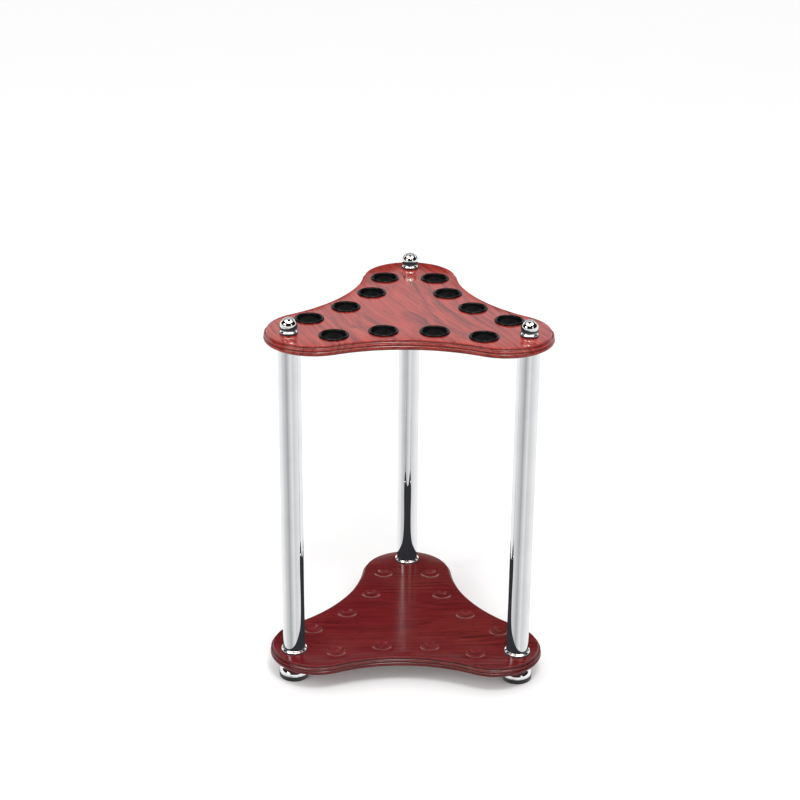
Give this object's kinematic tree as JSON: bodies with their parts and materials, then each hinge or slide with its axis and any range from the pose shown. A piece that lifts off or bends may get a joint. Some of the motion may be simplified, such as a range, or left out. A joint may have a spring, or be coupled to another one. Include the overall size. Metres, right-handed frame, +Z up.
{
  "type": "billiard cue rack",
  "caption": "Free-standing cue rack: a lobed top board with grommeted holes over a base board with dished butt seats, held apart by chromed tube posts on screw feet.",
  "frame": {"origin": "on the floor under the middle of the footprint, which is 44.3 mm in front of the axis that the three posts stand round", "axes": "+Z up; +Y to the back post, so +X is to the right of a viewer in front of the rack"},
  "size_m": [0.4766, 0.4355, 0.6687],
  "materials": {
    "stained_wood": "gloss lacquer over red-brown stain",
    "chrome": "polished",
    "black_plastic": "gloss",
    "black_rubber": "matte",
    "bare_steel": "zinc plated"
  },
  "bodies": {
    "rack": {"base_board": "stained_wood", "top_board": "stained_wood", "finial_studs": "bare_steel", "jam_nuts": "bare_steel", "jam_washers": "bare_steel", "post_tube_back": "chrome", "post_tube_left": "chrome", "post_tube_right": "chrome", "base_collar_back": "chrome", "base_collar_left": "chrome", "base_collar_right": "chrome", "top_collar_back": "chrome", "top_collar_left": "chrome", "top_collar_right": "chrome", "base_plug_back": "bare_steel", "base_plug_left": "bare_steel", "base_plug_right": "bare_steel", "top_plug_back": "bare_steel", "top_plug_left": "bare_steel", "top_plug_right": "bare_steel", "finial_back": "chrome", "finial_left": "chrome", "finial_right": "chrome", "cue_grommet_1": "black_plastic", "cue_grommet_2": "black_plastic", "cue_grommet_3": "black_plastic", "cue_grommet_4": "black_plastic", "cue_grommet_5": "black_plastic", "cue_grommet_6": "black_plastic", "cue_grommet_7": "black_plastic", "cue_grommet_8": "black_plastic", "cue_grommet_9": "black_plastic", "cue_grommet_10": "black_plastic", "cue_grommet_11": "black_plastic", "cue_grommet_12": "black_plastic"},
    "foot_back": {"foot_dome_back": "chrome", "foot_pad_back": "black_rubber"},
    "stud_back": {"foot_stud_back": "bare_steel"},
    "foot_left": {"foot_dome_left": "chrome", "foot_pad_left": "black_rubber"},
    "stud_left": {"foot_stud_left": "bare_steel"},
    "foot_right": {"foot_dome_right": "chrome", "foot_pad_right": "black_rubber"},
    "stud_right": {"foot_stud_right": "bare_steel"}
  },
  "joints": [
    {"name": "foot_slide_back", "type": "slide", "parent": "rack", "child": "foot_back", "axis": [0, 0, -1], "range_m": [0, 0.01]},
    {"name": "foot_screw_back", "type": "hinge", "parent": "foot_back", "child": "stud_back", "pos_m": [0, 0.1807, 0.023], "axis": [0, 0, -1], "range_deg": [0, 2394]},
    {"name": "foot_slide_left", "type": "slide", "parent": "rack", "child": "foot_left", "axis": [0, 0, -1], "range_m": [0, 0.01]},
    {"name": "foot_screw_left", "type": "hinge", "parent": "foot_left", "child": "stud_left", "pos_m": [-0.19486, -0.1568, 0.023], "axis": [0, 0, -1], "range_deg": [0, 2394]},
    {"name": "foot_slide_right", "type": "slide", "parent": "rack", "child": "foot_right", "axis": [0, 0, -1], "range_m": [0, 0.01]},
    {"name": "foot_screw_right", "type": "hinge", "parent": "foot_right", "child": "stud_right", "pos_m": [0.19486, -0.1568, 0.023], "axis": [0, 0, -1], "range_deg": [0, 2394]}
  ],
  "couplings": [
    {"joint": "foot_slide_back", "follows": "foot_screw_back", "m_per_rad": 0.00023873},
    {"joint": "foot_slide_left", "follows": "foot_screw_left", "m_per_rad": 0.00023873},
    {"joint": "foot_slide_right", "follows": "foot_screw_right", "m_per_rad": 0.00023873}
  ]
}
